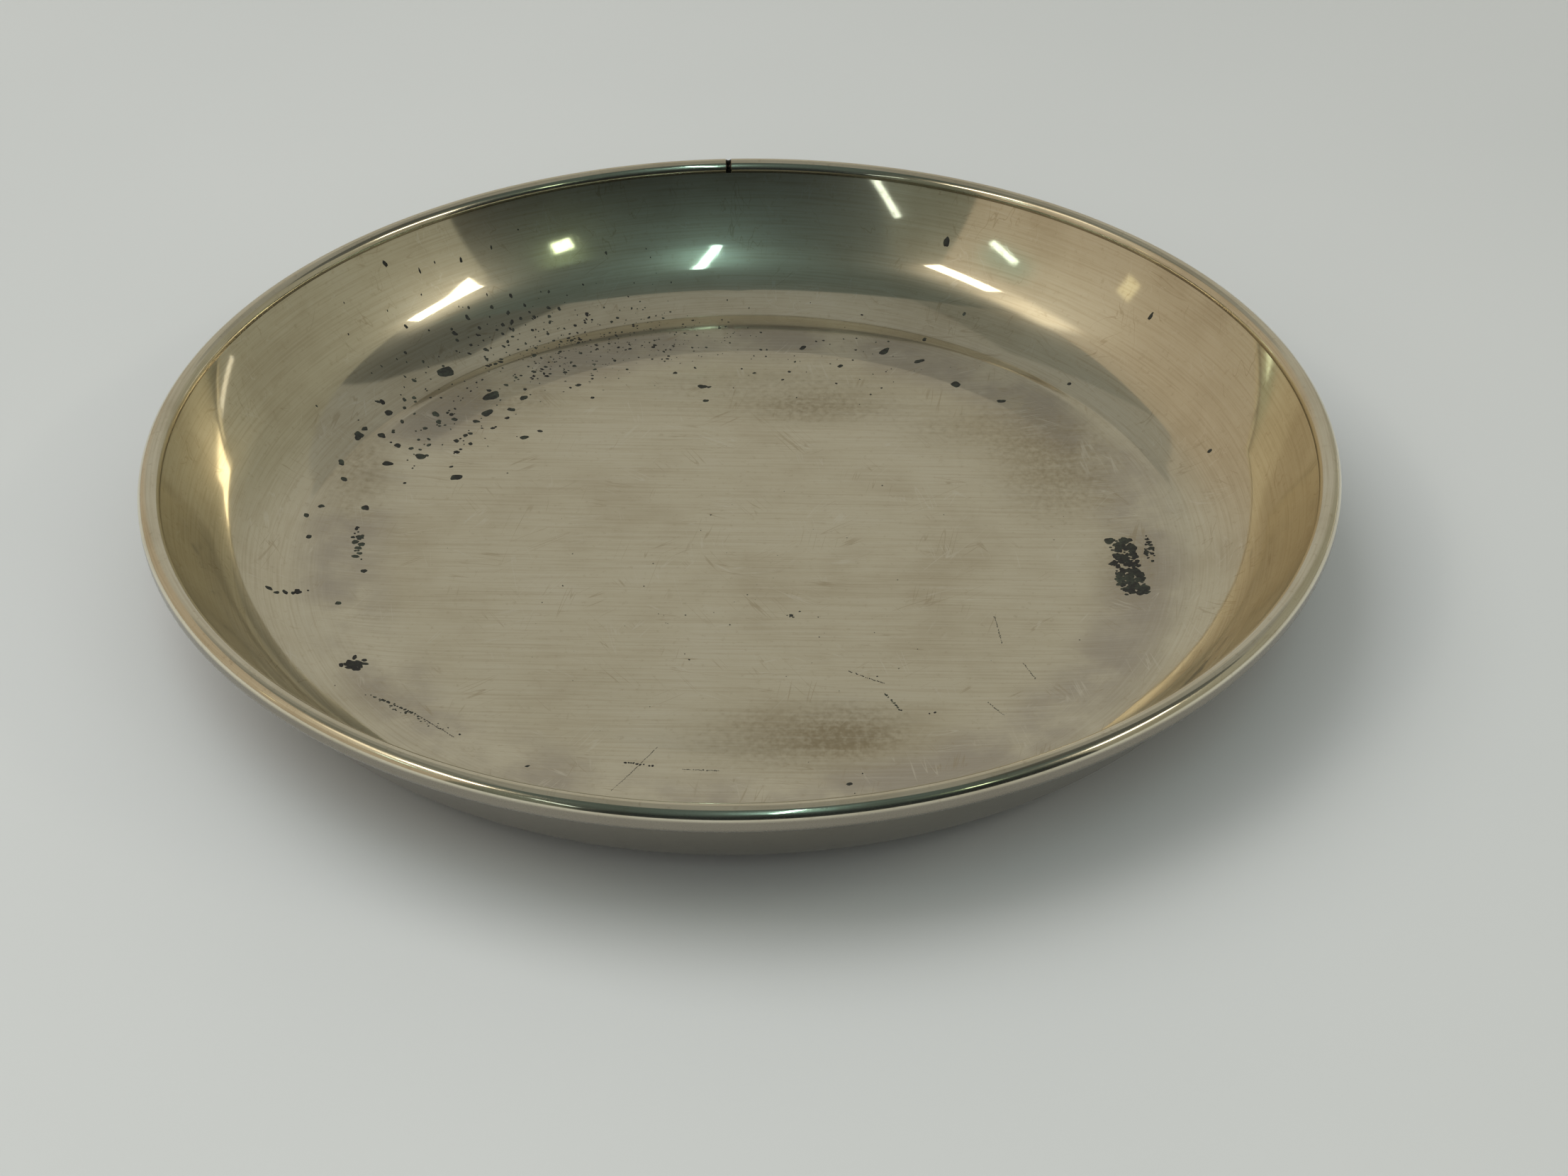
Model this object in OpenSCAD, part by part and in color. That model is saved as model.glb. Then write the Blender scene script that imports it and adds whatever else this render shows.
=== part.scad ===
// A round silver coin dish. A spun body of even thickness carries a rim wire that is
// stepped over its trimmed edge, and a bead of solder joins the two all the way round.
// The origin is on the table, in the middle of the flat underside, with +Z up.

/* [Dish] */
// Outside diameter, over the rim wire
dish_d = 110; // [80:1:160]
// Height from the table to the top of the rim wire
dish_h = 14; // [11:0.5:20]
// Thickness of the silver sheet
sheet_t = 0.8; // [0.6:0.1:1.2]

/* [Wall curve] */
// Inside radius of the turn that lifts the floor into the wall
turn_r = 13.2; // [8:0.2:18]
// Slope in degrees at which the turn runs out into the flatter curve above it
turn_slope = 54; // [40:1:58]
// Slope in degrees of the wall at the rim
rim_slope = 65; // [61:1:80]

/* [Rim wire] */
// Width of the rim wire, seen from above
wire_w = 2; // [1.6:0.1:2.3]
// Height of the rim wire
wire_h = 2.4; // [2.1:0.1:3]
// Height of the wire's top above the trimmed edge of the sheet
wire_rise = 1.1; // [0.9:0.1:1.4]
// How far the wire stands inward past the face of the wall
wire_lip = 0.1; // [0.05:0.05:0.3]

/* [Solder] */
// Radius of the rounded outside of the solder
solder_r = 0.4; // [0.36:0.02:0.5]
// Depth of the middle of the solder below the lowest point of the wire
solder_drop = 0.25; // [0.2:0.05:0.4]

/* [Hidden] */

// Steps round a turned part, and round a circle of its section
turned_steps = 180;
section_steps = 720;

rim_r = dish_d / 2;

// The inside face of the wall ends here, at the sheet's trimmed edge
lip = [rim_r - wire_w + wire_lip, dish_h - wire_rise];

// The upper curve climbs what the turn leaves of the height, which settles its radius
turn_rise = turn_r * (1 - cos(turn_slope));
wall_rise = lip.y - sheet_t - turn_rise;
wall_r = wall_rise / (cos(turn_slope) - cos(rim_slope));
wall_run = wall_r * (sin(rim_slope) - sin(turn_slope));

// The turn's centre stands over the edge of the flat floor
floor_r = lip.x - wall_run - turn_r * sin(turn_slope);
turn_centre = [floor_r, sheet_t + turn_r];

// Both centres lie on the line across the wall where one curve hands over to the other
across = [-sin(turn_slope), cos(turn_slope)];
wall_centre = turn_centre + (wall_r - turn_r) * across;

// The wire's section is a round bar drawn out in height, so it has two centres
bead_r = wire_w / 2;
bead_x = rim_r - bead_r;
bead_top = dish_h - bead_r;
bead_bottom = dish_h - wire_h + bead_r;
wire_low = dish_h - wire_h;

// The solder's centre stands off the wall by this share of its radius, so it bites into both
solder_bite = 0.86;

sheet_colour = [0.74, 0.70, 0.60];
wire_colour = [0.82, 0.79, 0.70];
solder_colour = [0.66, 0.64, 0.58];

// Outside face of the wall, as a radius from the axis at height z
function wall_face(z) = wall_centre.x + sqrt(pow(wall_r + sheet_t, 2) - pow(z - wall_centre.y, 2));

// Everything below the height of the trimmed edge
module below_lip() square([dish_d, lip.y]);

// The disc whose arc is the wall's upper curve, kept to the slopes past the turn
module wall_disc(r) {
  reach = 2 * r;
  intersection() {
    circle(r = r, $fn = section_steps);
    polygon([[0, 0], reach * [sin(turn_slope), -cos(turn_slope)], [reach, 0]]);
  }
}

// All that lies within a surface set outward from the dish's inside face. The turn's whole
// disc can stand here, because it touches the floor and the upper curve from within
module within(outward) {
  translate([0, sheet_t - outward]) square([floor_r, dish_h]);
  translate(turn_centre) circle(r = turn_r + outward, $fn = section_steps);
  translate(wall_centre) wall_disc(wall_r + outward);
}

module body_section() {
  intersection() {
    difference() {
      within(sheet_t);
      within(0);
    }
    below_lip();
  }
}

module bead_section() {
  translate([bead_x, bead_top]) circle(r = bead_r, $fn = section_steps);
  translate([bead_x, bead_bottom]) circle(r = bead_r, $fn = section_steps);
  translate([bead_x - bead_r, bead_bottom]) square([wire_w, bead_top - bead_bottom]);
}

// The step is the space that the sheet fills: a ledge on its edge and a skirt down its outside
module wire_section() {
  difference() {
    bead_section();
    intersection() {
      within(sheet_t);
      below_lip();
    }
  }
}

// The solder fills the crease between the wall and the wire, and rounds it off below
module solder_section() {
  solder_z = wire_low - solder_drop;
  solder_centre = [wall_face(solder_z) + solder_bite * solder_r, solder_z];
  difference() {
    union() {
      translate(solder_centre) circle(r = solder_r, $fn = section_steps);
      polygon([
        [wall_face(solder_z), solder_z],
        solder_centre,
        [solder_centre.x, bead_bottom],
        [lip.x, bead_bottom]
      ]);
    }
    bead_section();
    within(sheet_t);
  }
}

module dish_body() {
  color(sheet_colour) rotate_extrude($fn = turned_steps) body_section();
}

module rim_wire() {
  color(wire_colour) rotate_extrude($fn = turned_steps) wire_section();
}

module rim_solder() {
  color(solder_colour) rotate_extrude($fn = turned_steps) solder_section();
}

dish_body();
rim_wire();
rim_solder();
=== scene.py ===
"""A small round silver coin dish on a pale table: spun bowl, rim wire, solder and tarnish."""

import logging
import math
import random
from dataclasses import dataclass, field
from enum import Enum
from typing import Any, Callable, Iterable, Sequence

import bpy
import numpy as np
from mathutils import Matrix, Quaternion, Vector


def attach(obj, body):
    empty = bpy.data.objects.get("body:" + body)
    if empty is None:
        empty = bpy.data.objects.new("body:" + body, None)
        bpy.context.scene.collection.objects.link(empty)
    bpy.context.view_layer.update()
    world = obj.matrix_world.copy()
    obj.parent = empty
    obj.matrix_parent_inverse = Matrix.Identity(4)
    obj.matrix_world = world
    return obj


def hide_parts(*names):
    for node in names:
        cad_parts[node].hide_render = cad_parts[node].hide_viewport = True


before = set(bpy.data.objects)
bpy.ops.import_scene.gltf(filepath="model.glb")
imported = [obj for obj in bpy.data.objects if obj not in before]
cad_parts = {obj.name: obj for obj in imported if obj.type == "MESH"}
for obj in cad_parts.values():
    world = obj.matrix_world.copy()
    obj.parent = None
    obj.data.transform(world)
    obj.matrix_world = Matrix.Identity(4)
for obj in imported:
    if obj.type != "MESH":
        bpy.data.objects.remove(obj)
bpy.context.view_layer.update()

LOG = logging.getLogger("coin_dish")
logging.basicConfig(level=logging.INFO, format="%(name)s: %(message)s")

MM = 0.001
BACKDROP = (0.56, 0.575, 0.55)
BODY = "root"
SEAM_ANGLE = math.radians(91.9)
Colour = tuple[float, float, float]
Point = tuple[float, float]
Grids = tuple[np.ndarray, np.ndarray]

# Hairline scratches: the way they run in degrees, how close they lie and the turn of their gaps
HAIR_SETS = ((-58.0, 0.55, 3.0), (35.0, 0.75, 11.0), (-12.0, 0.65, 27.0), (78.0, 0.60, 41.0))


class Slot(Enum):
    """The material slots."""

    SHEET = "silver_sheet"
    WIRE = "silver_wire"
    SOLDER = "silver_solder"


class Grain(Enum):
    """Which way the polishing lines run on a finish."""

    STRAIGHT_THEN_ROUND = "straight_then_round"
    ROUND = "round"


class Sock:
    """A shader socket that takes part in Python arithmetic."""

    def __init__(self, graph: "Graph", socket: Any) -> None:
        """Wraps a socket.

        Args:
            graph: The graph that the socket belongs to.
            socket: An output socket of one of its nodes.
        """
        self.graph = graph
        self.socket = socket

    def _math(self, operation: str, *values: Any) -> "Sock":
        """Adds one Math node and returns its result."""
        made = self.graph.node("ShaderNodeMath", {"operation": operation}, dict(enumerate(values)))
        return Sock(self.graph, made.outputs[0])

    def __add__(self, other: Any) -> "Sock":
        """Sum."""
        return self._math("ADD", self, other)

    def __radd__(self, other: Any) -> "Sock":
        """Reflected sum."""
        return self._math("ADD", other, self)

    def __sub__(self, other: Any) -> "Sock":
        """Difference."""
        return self._math("SUBTRACT", self, other)

    def __rsub__(self, other: Any) -> "Sock":
        """Reflected difference."""
        return self._math("SUBTRACT", other, self)

    def __mul__(self, other: Any) -> "Sock":
        """Product."""
        return self._math("MULTIPLY", self, other)

    def __rmul__(self, other: Any) -> "Sock":
        """Reflected product."""
        return self._math("MULTIPLY", other, self)

    def __truediv__(self, other: Any) -> "Sock":
        """Quotient."""
        return self._math("DIVIDE", self, other)

    def __pow__(self, other: Any) -> "Sock":
        """Power."""
        return self._math("POWER", self, other)

    def __abs__(self) -> "Sock":
        """Size without the sign."""
        return self._math("ABSOLUTE", self)

    def most(self, other: Any) -> "Sock":
        """The larger of two values."""
        return self._math("MAXIMUM", self, other)

    def least(self, other: Any) -> "Sock":
        """The smaller of two values."""
        return self._math("MINIMUM", self, other)

    def turned(self, other: Any) -> "Sock":
        """Angle of the point (other, self) about the origin."""
        return self._math("ARCTAN2", self, other)

    def ease(self, low: float, high: float) -> "Sock":
        """A smooth step from 0 at low to 1 at high, or down where high is below low.

        Args:
            low: Value at which the step starts.
            high: Value at which the step ends.

        Returns:
            The eased value, kept between 0 and 1.
        """
        made = self.graph.node(
            "ShaderNodeMapRange",
            {"interpolation_type": "SMOOTHSTEP"},
            {"Value": self, "From Min": low, "From Max": high},
        )
        return Sock(self.graph, made.outputs["Result"])


class Graph:
    """A node tree with one method that makes any node."""

    def __init__(self, tree: bpy.types.NodeTree) -> None:
        """Clears the tree.

        Args:
            tree: The material's or world's node tree.
        """
        self.tree = tree
        tree.nodes.clear()

    def node(
        self, kind: str, settings: dict[str, Any] | None = None, inputs: dict[Any, Any] | None = None
    ) -> bpy.types.Node:
        """Makes one node, applies its settings and then fills its sockets.

        Args:
            kind: The node's type name.
            settings: Attributes of the node, set before its sockets.
            inputs: Socket name or number to a value or a Sock.

        Returns:
            The node.
        """
        made = self.tree.nodes.new(kind)
        for name, value in (settings or {}).items():
            setattr(made, name, value)
        for name, value in (inputs or {}).items():
            if isinstance(value, Sock):
                self.tree.links.new(value.socket, made.inputs[name])
            else:
                made.inputs[name].default_value = value
        return made

    def out(
        self,
        kind: str,
        socket: Any,
        settings: dict[str, Any] | None = None,
        inputs: dict[Any, Any] | None = None,
    ) -> Sock:
        """Makes one node and returns one of its outputs.

        Args:
            kind: The node's type name.
            socket: Name or number of the output.
            settings: As for node().
            inputs: As for node().

        Returns:
            The output, wrapped.
        """
        return Sock(self, self.node(kind, settings, inputs).outputs[socket])

    def mix(self, share: Any, first: Any, second: Any) -> Sock:
        """Mixes two colours.

        Args:
            share: Share of the second colour.
            first: A colour or a Sock.
            second: A colour or a Sock.

        Returns:
            The mixed colour.
        """
        paint = [(*c, 1.0) if isinstance(c, tuple) else c for c in (first, second)]
        made = self.node("ShaderNodeMix", {"data_type": "RGBA"}, {0: share, 6: paint[0], 7: paint[1]})
        return Sock(self, made.outputs[2])

    def noise(self, place: Sock, scale: float, detail: float = 3.0, rough: float = 0.5) -> Sock:
        """Fractal noise from 0 to 1.

        Args:
            place: Coordinates.
            scale: Cells to a unit of them.
            detail: Number of octaves.
            rough: Share that each octave keeps.

        Returns:
            The noise value.
        """
        return self.out(
            "ShaderNodeTexNoise",
            0,
            {"noise_dimensions": "3D"},
            {"Vector": place, "Scale": scale, "Detail": detail, "Roughness": rough},
        )

    def vector(self, x: Any, y: Any, z: Any) -> Sock:
        """Joins three values into a vector."""
        return self.out("ShaderNodeCombineXYZ", 0, None, {0: x, 1: y, 2: z})

    def parts(self, vector: Sock) -> tuple[Sock, Sock, Sock]:
        """Splits a vector into its three values."""
        made = self.node("ShaderNodeSeparateXYZ", None, {0: vector})
        return Sock(self, made.outputs[0]), Sock(self, made.outputs[1]), Sock(self, made.outputs[2])

    def dot(self, vector: Sock, fixed: Vector) -> Sock:
        """Dot product of a vector and a fixed one."""
        return self.out("ShaderNodeVectorMath", 1, {"operation": "DOT_PRODUCT"}, {0: vector, 1: tuple(fixed)})

    def scaled(self, place: Sock, x: float, y: float, z: float, turn: float = 0.0) -> Sock:
        """Turns coordinates about the vertical and then scales them.

        Args:
            place: Coordinates.
            x: Factor along x.
            y: Factor along y.
            z: Factor along z.
            turn: Turn in degrees, made first.

        Returns:
            The new coordinates.
        """
        turned = self.out(
            "ShaderNodeVectorRotate",
            0,
            {"rotation_type": "Z_AXIS"},
            {"Vector": place, "Angle": math.radians(turn)},
        )
        return self.out("ShaderNodeVectorMath", 0, {"operation": "MULTIPLY"}, {0: turned, 1: (x, y, z)})


def blank(name: str) -> tuple[bpy.types.Material, Graph]:
    """Starts a material.

    Args:
        name: Its name.

    Returns:
        The material and its empty graph.
    """
    made = bpy.data.materials.new(name)
    made.use_nodes = True
    return made, Graph(made.node_tree)


@dataclass(frozen=True)
class Smudge:
    """A soft stain on the silver: its middle, its reach both ways in mm and how strong it is."""

    x: float
    y: float
    reach_x: float
    reach_y: float
    strength: float


@dataclass(frozen=True)
class SilverFinish:
    """Old silver with a thin warm tarnish, polishing lines, hairlines and stains, and painted shade on faces
    that point sideways or down.

    Attributes are colours, shares and roughness from 0 to 1, lengths in mm, and steps from the
    value at which they start to the value at which they are whole.
    """

    name: str
    grain: Grain
    clean: Colour = (0.83, 0.765, 0.60)
    worn: Colour = (0.92, 0.87, 0.74)
    brown: Colour = (0.50, 0.41, 0.27)
    violet: Colour = (0.53, 0.48, 0.42)
    dirt: Colour = (0.020, 0.018, 0.016)
    # Painted shade: the darker colour, its share and the step in the normal's upward share for faces that
    # point sideways or down
    painted_under_shade: Colour = (0.24, 0.215, 0.18)
    painted_under_shade_share: float = 0.88
    scratched: float = 1.0
    polish: float = 0.05
    haze: float = 0.31
    haze_share: float = 0.42
    line_height: float = 0.00028
    smudges: tuple[Smudge, ...] = ()
    seamed: bool = False
    cloud_scale: float = 0.075
    fine_scale: float = 1.6
    ring_inner: Point = (32.0, 37.5)
    ring_outer: Point = (44.0, 39.0)
    ring_share: float = 0.72
    painted_under_shade_step: Point = (0.36, 0.0)
    seam_step: Point = (0.0065, 0.0045)
    brown_share: float = 0.32
    worn_share: float = 0.25
    line_share: float = 0.28
    speck_share: float = 0.30
    scratch_share: float = 0.45
    scratch_height: float = 0.9
    stain_most: float = 0.85
    least_rough: float = 0.03
    cut_turn: float = 23.0

    def make(self) -> bpy.types.Material:
        """Builds the material.

        Returns:
            The finished material.
        """
        made, graph = blank(self.name)
        place = self._place(graph)
        x, y, z = graph.parts(place)
        radius = (x * x + y * y) ** 0.5
        lines = self._lines(graph, place, x, y, z, radius)
        hairs = self._hairlines(graph, place, 0.0)
        cuts = self._hairlines(graph, place, self.cut_turn)
        clouds = graph.noise(place, self.cloud_scale, 5.0, 0.6)
        fine = graph.noise(place, self.fine_scale, 4.0, 0.65)
        stain = self._stain(x, y, radius, clouds, fine)
        ring = radius.ease(*self.ring_inner) * radius.ease(*self.ring_outer) * clouds.ease(0.36, 0.60)
        # outer is 1 on faces that point sideways or down: their colour takes painted shade below, and their
        # roughness rises a little
        outer = graph.parts(graph.out("ShaderNodeTexCoord", "Normal"))[2].ease(*self.painted_under_shade_step)
        scratch = self.scratch_share * self.scratched
        colour = graph.mix(clouds.ease(0.45, 0.72) * self.brown_share, self.clean, self.brown)
        colour = graph.mix(clouds.ease(0.50, 0.30) * self.worn_share, colour, self.worn)
        colour = graph.mix(ring * self.ring_share, colour, self.violet)
        colour = graph.mix(stain.least(self.stain_most), colour, self.brown)
        colour = graph.mix(lines.ease(0.54, 0.30) * self.line_share, colour, self.brown)
        colour = graph.mix(lines.ease(0.50, 0.72) * self.line_share, colour, self.worn)
        colour = graph.mix(fine.ease(0.56, 0.74) * self.speck_share, colour, self.brown)
        colour = graph.mix(cuts * scratch, colour, self.brown)
        colour = graph.mix(hairs * scratch, colour, self.worn)
        # Painted shade: faces that point sideways or down are darkened, standing in for the shaded table and
        # room they mirror
        colour = graph.mix(outer * self.painted_under_shade_share, colour, self.painted_under_shade)
        if self.seamed:
            colour = graph.mix(abs(y.turned(x) - SEAM_ANGLE).ease(*self.seam_step), colour, self.dirt)
        rough = (lines - 0.5) * 0.06 + stain * 0.12 + fine.ease(0.45, 0.75) * 0.03 + outer * 0.05
        height = lines * 0.75 + (hairs - cuts) * (self.scratch_height * self.scratched) + fine * 0.35
        bump = graph.out(
            "ShaderNodeBump", 0, None, {"Strength": 1.0, "Distance": self.line_height * MM, "Height": height}
        )
        shades = [
            graph.node(
                "ShaderNodeBsdfPrincipled",
                None,
                {
                    "Base Color": colour,
                    "Metallic": 1.0,
                    "Roughness": (rough + base).most(self.least_rough),
                    "Normal": bump,
                },
            )
            for base in (self.polish, self.haze)
        ]
        share = (stain * 0.5 + self.haze_share).least(1.0)
        both = graph.out(
            "ShaderNodeMixShader",
            0,
            None,
            {0: share, 1: Sock(graph, shades[0].outputs[0]), 2: Sock(graph, shades[1].outputs[0])},
        )
        graph.node("ShaderNodeOutputMaterial", None, {"Surface": both})
        return made

    @staticmethod
    def _place(graph: Graph) -> Sock:
        """Coordinates on the piece, in mm."""
        coordinates = graph.out("ShaderNodeTexCoord", "Object")
        return graph.out("ShaderNodeVectorMath", 0, {"operation": "SCALE"}, {0: coordinates, "Scale": 1 / MM})

    def _lines(self, graph: Graph, place: Sock, x: Sock, y: Sock, z: Sock, radius: Sock) -> Sock:
        """Fine polishing lines: straight across the floor, round the wall and the wire.

        Args:
            graph: The material's graph.
            place: Coordinates in mm.
            x: First coordinate.
            y: Second coordinate.
            z: Height.
            radius: Distance from the axis.

        Returns:
            A value that swings about 0.5 from line to line.
        """
        arc = y.turned(x) * 6.0
        around = graph.noise(graph.vector(arc, radius * 5.0, z * 5.0), 1.0, 5.0, 0.6)
        if self.grain is Grain.ROUND:
            return around
        across = graph.noise(graph.scaled(place, 0.10, 4.0, 1.0, 2.0), 1.0, 5.0, 0.62)
        share = radius.ease(36.0, 43.0)
        return across * (1 - share) + around * share

    @staticmethod
    def _hairlines(graph: Graph, place: Sock, shift: float) -> Sock:
        """Sparse hairline scratches in four directions.

        Args:
            graph: The material's graph.
            place: Coordinates in mm.
            shift: Degrees by which this set is turned from the first.

        Returns:
            1 in a scratch and 0 off it.
        """
        total: Any = 0.0
        for turn, thin, gate in HAIR_SETS:
            line = graph.noise(graph.scaled(place, 0.035, thin, 0.2, turn + shift), 1.0, 2.0, 0.5)
            here = graph.noise(graph.scaled(place, 0.15, 0.15, 0.15, turn + gate + shift), 1.0, 2.0, 0.5)
            total = abs(line - 0.5).ease(0.010, 0.002) * here.ease(0.57, 0.67) + total
        return total.least(1.0)

    def _stain(self, x: Sock, y: Sock, radius: Sock, clouds: Sock, fine: Sock) -> Sock:
        """Brown stains: the named smudges, broken up by noise.

        Args:
            x: First coordinate in mm.
            y: Second coordinate in mm.
            radius: Distance from the axis.
            clouds: Broad noise.
            fine: Fine noise.

        Returns:
            Strength of the stain from 0 to 1.
        """
        total = radius * 0.0
        for spot in self.smudges:
            away = (((x - spot.x) / spot.reach_x) ** 2.0 + ((y - spot.y) / spot.reach_y) ** 2.0) ** 0.5
            total = total + (away + clouds * 0.5 - 0.25).ease(1.0, 0.1) * spot.strength
        return total * (fine.ease(0.30, 0.66) * 0.6 + 0.4)


@dataclass(frozen=True)
class CrustFinish:
    """Black and green corrosion in a pit."""

    name: str = "corrosion_crust"
    dark: Colour = (0.016, 0.014, 0.013)
    green: Colour = (0.048, 0.056, 0.037)
    grit_height: float = 0.03

    def make(self) -> bpy.types.Material:
        """Builds the material.

        Returns:
            The finished material.
        """
        made, graph = blank(self.name)
        place = graph.out("ShaderNodeTexCoord", "Object")
        grit = graph.noise(place, 2600.0, 4.0, 0.6)
        patch = graph.noise(place, 260.0, 2.0, 0.5)
        colour = graph.mix((grit * 0.6 + patch * 0.5).ease(0.42, 0.78), self.dark, self.green)
        bump = graph.out(
            "ShaderNodeBump", 0, None, {"Strength": 0.8, "Distance": self.grit_height * MM, "Height": grit}
        )
        shade = graph.out(
            "ShaderNodeBsdfPrincipled",
            0,
            None,
            {"Base Color": colour, "Roughness": grit * 0.3 + 0.45, "Metallic": 0.0, "Normal": bump},
        )
        graph.node("ShaderNodeOutputMaterial", None, {"Surface": shade})
        return made


@dataclass(frozen=True)
class TableFinish:
    """Pale matt board with a little unevenness, which fades into the backdrop far from the dish."""

    name: str = "pale_table"
    pale: Colour = (0.690, 0.700, 0.690)
    shade: Colour = (0.665, 0.677, 0.667)
    grain_height: float = 0.02
    fade: Point = (0.20, 0.60)

    def make(self) -> bpy.types.Material:
        """Builds the material.

        Returns:
            The finished material.
        """
        made, graph = blank(self.name)
        place = graph.out("ShaderNodeTexCoord", "Object")
        soft = graph.noise(place, 9.0, 3.0, 0.5)
        grain = graph.noise(place, 1400.0, 3.0, 0.6)
        colour = graph.mix(soft.ease(0.3, 0.7), self.pale, self.shade)
        bump = graph.out(
            "ShaderNodeBump", 0, None, {"Strength": 0.25, "Distance": self.grain_height * MM, "Height": grain}
        )
        shade = graph.out(
            "ShaderNodeBsdfPrincipled",
            0,
            None,
            {
                "Base Color": colour,
                "Roughness": soft * 0.1 + 0.55,
                "Specular IOR Level": 0.25,
                "Normal": bump,
            },
        )
        away = graph.out("ShaderNodeVectorMath", 1, {"operation": "LENGTH"}, {0: place})
        seen = graph.out("ShaderNodeLightPath", "Is Camera Ray")
        backdrop = graph.out("ShaderNodeEmission", 0, None, {"Color": (*BACKDROP, 1.0), "Strength": 1.0})
        share = away.ease(*self.fade) * seen
        faded = graph.out("ShaderNodeMixShader", 0, None, {0: share, 1: shade, 2: backdrop})
        graph.node("ShaderNodeOutputMaterial", None, {"Surface": faded})
        return made


@dataclass(frozen=True)
class DishProfile:
    """The section of the dish in mm, as the source of its solids has it.

    The cove is the slope in degrees of the shown inside face at each radius.
    """

    floor_radius: float = 38.499
    sheet: float = 0.8
    turn_radius: float = 13.2
    turn_slope: float = 54.0
    wall_radius: float = 40.315
    wall_centre: Point = (16.562, 29.938)
    lip: Point = (53.1, 12.9)
    wire_x: float = 54.0
    wire_radius: float = 1.0
    wire_top: float = 13.0
    wire_bottom: float = 12.6
    solder_radius: float = 0.4
    solder_drop: float = 0.25
    solder_bite: float = 0.86
    cove: tuple[Point, ...] = (
        (31.0, 0.0), (32.0, 0.8), (33.0, 1.5), (34.0, 2.1), (35.0, 2.8), (35.7, 3.2), (36.1, 5.4),
        (37.0, 6.0), (41.0, 6.1), (41.3, 4.5), (42.0, 4.5), (42.3, 9.0), (43.2, 23.5), (44.0, 25.5),
        (45.0, 29.2), (45.6, 32.2),
    )
    cove_out: float = 48.0
    cove_sink: float = 0.20
    cove_steps: int = 240

    def wall_face(self, z: float) -> float:
        """Radius of the outside of the wall at a height in mm."""
        reach = self.wall_radius + self.sheet
        return self.wall_centre[0] + math.sqrt(reach**2 - (z - self.wall_centre[1]) ** 2)

    def cad_inside(self, radius: float) -> tuple[float, float]:
        """Height and slope of the solid's inside face.

        Args:
            radius: Distance from the axis in mm.

        Returns:
            The height in mm and the slope in radians.
        """
        run = radius - self.floor_radius
        if run <= 0:
            return self.sheet, 0.0
        if run <= self.turn_radius * math.sin(math.radians(self.turn_slope)):
            slope = math.asin(run / self.turn_radius)
            return self.sheet + self.turn_radius * (1 - math.cos(slope)), slope
        slope = math.asin(min((radius - self.wall_centre[0]) / self.wall_radius, 1.0))
        return self.wall_centre[1] - self.wall_radius * math.cos(slope), slope

    def dishing(self, radius: float) -> float:
        """How far the shown face stands above the solid's, where the spinner's tool left a soft cove.

        Args:
            radius: Distance from the axis in mm.

        Returns:
            The height above the solid's inside face in mm.
        """
        stops = np.array(self.cove)
        end = float(stops[-1, 0])
        at = min(radius, end)
        grid = np.linspace(stops[0, 0], max(at, stops[0, 0]), self.cove_steps)
        tilt = np.tan(np.radians(np.interp(grid, stops[:, 0], stops[:, 1])))
        climb = float(np.sum((tilt[1:] + tilt[:-1]) / 2 * np.diff(grid)))
        above = self.sheet - self.cove_sink + climb - self.cad_inside(at)[0]
        share = min(max(radius - end, 0.0) / (self.cove_out - end), 1.0)
        return above * (1 - share * share * (3 - 2 * share))

    def inside(self, radius: float) -> tuple[float, float]:
        """Height and slope of the shown inside face.

        Args:
            radius: Distance from the axis in mm.

        Returns:
            The height in mm and the slope in radians.
        """
        height, slope = self.cad_inside(radius)
        step = 0.02
        change = (self.dishing(radius + step) - self.dishing(radius - step)) / (2 * step)
        return height + self.dishing(radius), math.atan(math.tan(slope) + change)

    def curve(self, outward: float, fine: int) -> list[Point]:
        """The turn and the wall as points from the floor to the lip.

        Args:
            outward: Distance out from the inside face in mm.
            fine: Points to the turn.

        Returns:
            Points (radius, height) in mm.
        """
        points = []
        centre = (self.floor_radius, self.sheet + self.turn_radius)
        for step in range(1, fine + 1):
            slope = math.radians(self.turn_slope * step / fine)
            reach = self.turn_radius + outward
            points.append((centre[0] + reach * math.sin(slope), centre[1] - reach * math.cos(slope)))
        reach = self.wall_radius + outward
        end = math.acos((self.wall_centre[1] - self.lip[1]) / reach)
        steps = max(4, fine // 2)
        for step in range(1, steps + 1):
            slope = math.radians(self.turn_slope) * (1 - step / steps) + end * step / steps
            points.append(
                (self.wall_centre[0] + reach * math.sin(slope), self.wall_centre[1] - reach * math.cos(slope))
            )
        return points


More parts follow.
